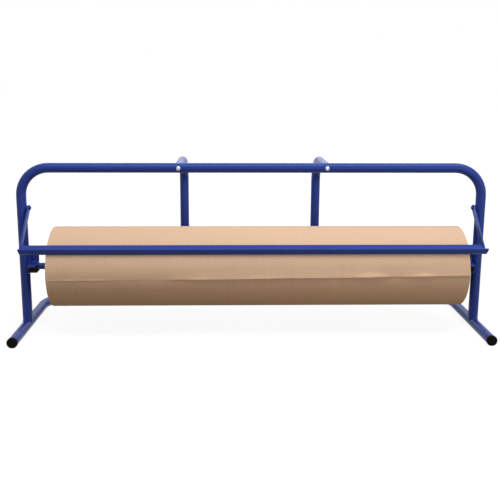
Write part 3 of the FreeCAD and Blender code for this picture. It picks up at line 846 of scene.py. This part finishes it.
class STAND_OT_weld_frame(bpy.types.Operator):
    """Lay the weld beads of the frame, brackets, studs and cutter arms"""

    bl_idname = "roll_stand.weld_frame"
    bl_label = "Weld the frame"

    def execute(self, context):
        paint = painted("blue_paint", powder_coat)
        feet = [saddle_bead(side * UPRIGHT_X, UPRIGHT_Y, False, FRAME_BEAD_R)
                for side in (-1, 1)]
        struts = [saddle_bead(side * STRUT_X, REAR_Y, True, FRAME_BEAD_R) for side in (-1, 1)]
        brackets = bracket_beads(-1) + bracket_beads(1)
        studs = [collar_bead(side, STUD_BEAD_R, STUD_RING_R) for side in (-1, 1)]
        arms = arm_beads(-1) + arm_beads(1)
        for name, parts, body in (("weld_feet", feet, "stand"), ("weld_struts", struts, "stand"),
                                  ("weld_brackets", brackets, "stand"),
                                  ("weld_studs", studs, "stand"), ("weld_arms", arms, "cutter")):
            points, faces = joined(parts)
            add_piece(name, dressed(points), faces, [paint], body, BEAD_CREASE)
        return {"FINISHED"}


class STAND_OT_wind_paper(bpy.types.Operator):
    """Wind the paper on its cardboard core"""

    bl_idname = "roll_stand.wind_paper"
    bl_label = "Wind the paper"

    def execute(self, context):
        painted("core_board", core_board)
        looks = context.scene.roll_stand.paper
        points, faces = build_wound_paper(looks)
        piece = add_piece("wound_paper", points, faces, [finish_of(kraft_sheet), paper_ends()],
                          "roll")
        # The faces that run from end to end are the paper's face and bore, the others its ends
        long_run = (WRAP_HIGH.x - WRAP_LOW.x) / 2
        for polygon in piece.data.polygons:
            xs = [points[index].x for index in polygon.vertices]
            polygon.material_index = 0 if max(xs) - min(xs) > long_run else 1
        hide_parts("paper_roll")
        return {"FINISHED"}


class STAND_OT_wrap_last_sheet(bpy.types.Operator):
    """Lay the last sheet round the roll, with its free edge a little askew and rippled"""

    bl_idname = "roll_stand.wrap_last_sheet"
    bl_label = "Wrap the last sheet"

    def execute(self, context):
        looks = context.scene.roll_stand.paper
        points, faces = build_last_sheet(looks)
        piece = add_piece("last_sheet", points, faces, [finish_of(kraft_sheet)], "roll",
                          SHEET_CREASE)
        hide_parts("paper_wrap")
        return {"FINISHED"}


class STAND_OT_set_stage(bpy.types.Operator):
    """Set the pale floor, the soft light and the camera"""

    bl_idname = "roll_stand.set_stage"
    bl_label = "Set the stage"

    def execute(self, context):
        looks = context.scene.roll_stand.stage
        build_floor(looks)
        build_world(looks)
        for name, at, toward, size in LAMPS:
            build_lamp(name, at, toward, size, getattr(looks, name))
        build_camera(looks)
        context.scene.view_settings.view_transform = "Standard"
        return {"FINISHED"}


# Stage

# Lamps: name, place, point that it faces, width and height, all in metres
LAMPS = (
    ("key", (0.35, -0.75, 2.6), (0.1, 0.0, 0.2), (3.4, 0.6)),
    ("front", (1.9, -3.3, 0.85), (0.0, 0.0, 0.25), (3.5, 1.8)),
    ("back", (0.0, 2.6, 1.5), (0.0, 0.2, 0.5), (3.0, 0.8)),
)

# Camera: place in metres, angles in degrees, and shift of its frame in widths of the picture
CAMERA_PLACE = (-0.0751, -2.0811, 0.7744)
CAMERA_TURN = -1.291
CAMERA_LOOKS_DOWN = 10.153
CAMERA_ROLL = 0.212
CAMERA_SHIFT = (0.01375, -0.10197)

# Floor: half its side, the grey in which the eye sees its shadows, and its own glow, which grows
# from the first distance to the second, in metres from the middle
FLOOR_HALF = 9.0
FLOOR_GREY = (0.16, 0.16, 0.16, 1)
FLOOR_GLOW = (0.91, 1.0)
FLOOR_GLOW_RANGE = (0.8, 2.4)
WHITE = (1, 1, 1, 1)


def seen_directly(tree):
    """1 for camera, glossy and transmission rays, which show the background as white."""
    path = place(tree, "LightPath").outputs
    direct = calculate(tree, "MAXIMUM", path["Is Camera Ray"], path["Is Glossy Ray"])
    return calculate(tree, "MAXIMUM", direct, path["Is Transmission Ray"])


def build_floor(looks):
    """Plain floor: white to the eye apart from soft shadows, weak and warm in what it returns."""
    corners = [(x * FLOOR_HALF, y * FLOOR_HALF, 0) for x, y in ((-1, -1), (1, -1), (1, 1), (-1, 1))]
    mesh = bpy.data.meshes.new("floor")
    mesh.from_pydata(corners, [], [(0, 1, 2, 3)])
    floor = bpy.data.objects.new("floor", mesh)
    bpy.context.scene.collection.objects.link(floor)
    material = bpy.data.materials.new("studio_floor")
    material.use_nodes = True
    tree = material.node_tree
    tree.nodes.clear()
    direct = seen_directly(tree)
    tone = mixed_color(tree, direct, looks.floor, FLOOR_GREY)
    matt = place(tree, "BsdfDiffuse", {"Color": tone}).outputs[0]
    where = place(tree, "TexCoord").outputs["Object"]
    away = place(tree, "VectorMath", {0: where}, operation="LENGTH").outputs["Value"]
    near, far = FLOOR_GLOW_RANGE
    dim, full = FLOOR_GLOW
    strength = place(tree, "MapRange", {"Value": away, "From Min": near, "From Max": far,
                                        "To Min": dim, "To Max": full}).outputs[0]
    glow = place(tree, "Emission", {"Color": WHITE, "Strength": strength}).outputs[0]
    lit = place(tree, "AddShader", {0: matt, 1: glow}).outputs[0]
    shown = place(tree, "MixShader", {0: direct, 1: matt, 2: lit}).outputs[0]
    place(tree, "OutputMaterial", {"Surface": shown})
    mesh.materials.append(material)


def build_world(looks):
    """Even light from all round, and a white background."""
    world = bpy.data.worlds.new("studio")
    world.use_nodes = True
    tree = world.node_tree
    tree.nodes.clear()
    direct = seen_directly(tree)
    light = place(tree, "Background", {"Color": WHITE, "Strength": looks.sky}).outputs[0]
    white = place(tree, "Background", {"Color": WHITE, "Strength": 1.0}).outputs[0]
    mixed = place(tree, "MixShader", {0: direct, 1: light, 2: white}).outputs[0]
    place(tree, "OutputWorld", {"Surface": mixed})
    bpy.context.scene.world = world


def build_lamp(name, at, toward, size, power):
    """Rectangular soft lamp."""
    data = bpy.data.lights.new(name, "AREA")
    data.shape = "RECTANGLE"
    data.size, data.size_y = size
    data.energy = power
    lamp = bpy.data.objects.new(name, data)
    lamp.location = at
    lamp.visible_camera = False
    lamp.rotation_euler = (Vector(toward) - Vector(at)).to_track_quat("-Z", "Y").to_euler()
    bpy.context.scene.collection.objects.link(lamp)


def build_camera(looks):
    """Camera a little to the left of the middle, looking slightly down on the roll."""
    data = bpy.data.cameras.new("camera")
    data.sensor_width = 36.0
    data.lens = looks.lens
    data.shift_x, data.shift_y = CAMERA_SHIFT
    data.clip_end = 100.0
    camera = bpy.data.objects.new("camera", data)
    turn = Matrix.Rotation(math.radians(CAMERA_TURN), 4, "Z")
    tilt = Matrix.Rotation(math.radians(90 - CAMERA_LOOKS_DOWN), 4, "X")
    roll = Matrix.Rotation(math.radians(CAMERA_ROLL), 4, "Z")
    camera.matrix_world = Matrix.Translation(CAMERA_PLACE) @ turn @ tilt @ roll
    bpy.context.scene.collection.objects.link(camera)
    bpy.context.scene.camera = camera


class STAND_PT_panel(bpy.types.Panel):
    """Panel that lists the steps and the settings"""

    bl_idname = "STAND_PT_panel"
    bl_label = "Roll stand"
    bl_space_type = "VIEW_3D"
    bl_region_type = "UI"
    bl_category = "Roll stand"

    def draw(self, context):
        for step in STEPS:
            self.layout.operator(step.bl_idname)
        looks = context.scene.roll_stand
        for group in (looks.finish, looks.paper, looks.stage):
            box = self.layout.box()
            for name in group.__annotations__:
                box.prop(group, name)


SETTINGS = (FinishSettings, PaperSettings, StageSettings, StandSettings)
STEPS = (STAND_OT_paint_frame, STAND_OT_finish_fastenings, STAND_OT_finish_mouldings,
         STAND_OT_weld_frame, STAND_OT_wind_paper, STAND_OT_wrap_last_sheet, STAND_OT_set_stage)


def register():
    """Make the settings, steps and panel known."""
    for part in SETTINGS + STEPS + (STAND_PT_panel,):
        bpy.utils.register_class(part)
    bpy.types.Scene.roll_stand = bpy.props.PointerProperty(type=StandSettings)


def unregister():
    """Take the settings, steps and panel away again."""
    del bpy.types.Scene.roll_stand
    for part in reversed(SETTINGS + STEPS + (STAND_PT_panel,)):
        bpy.utils.unregister_class(part)


def main():
    """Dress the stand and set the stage."""
    register()
    for step in STEPS:
        group, action = step.bl_idname.split(".")
        getattr(getattr(bpy.ops, group), action)()


if __name__ == "__main__":
    main()
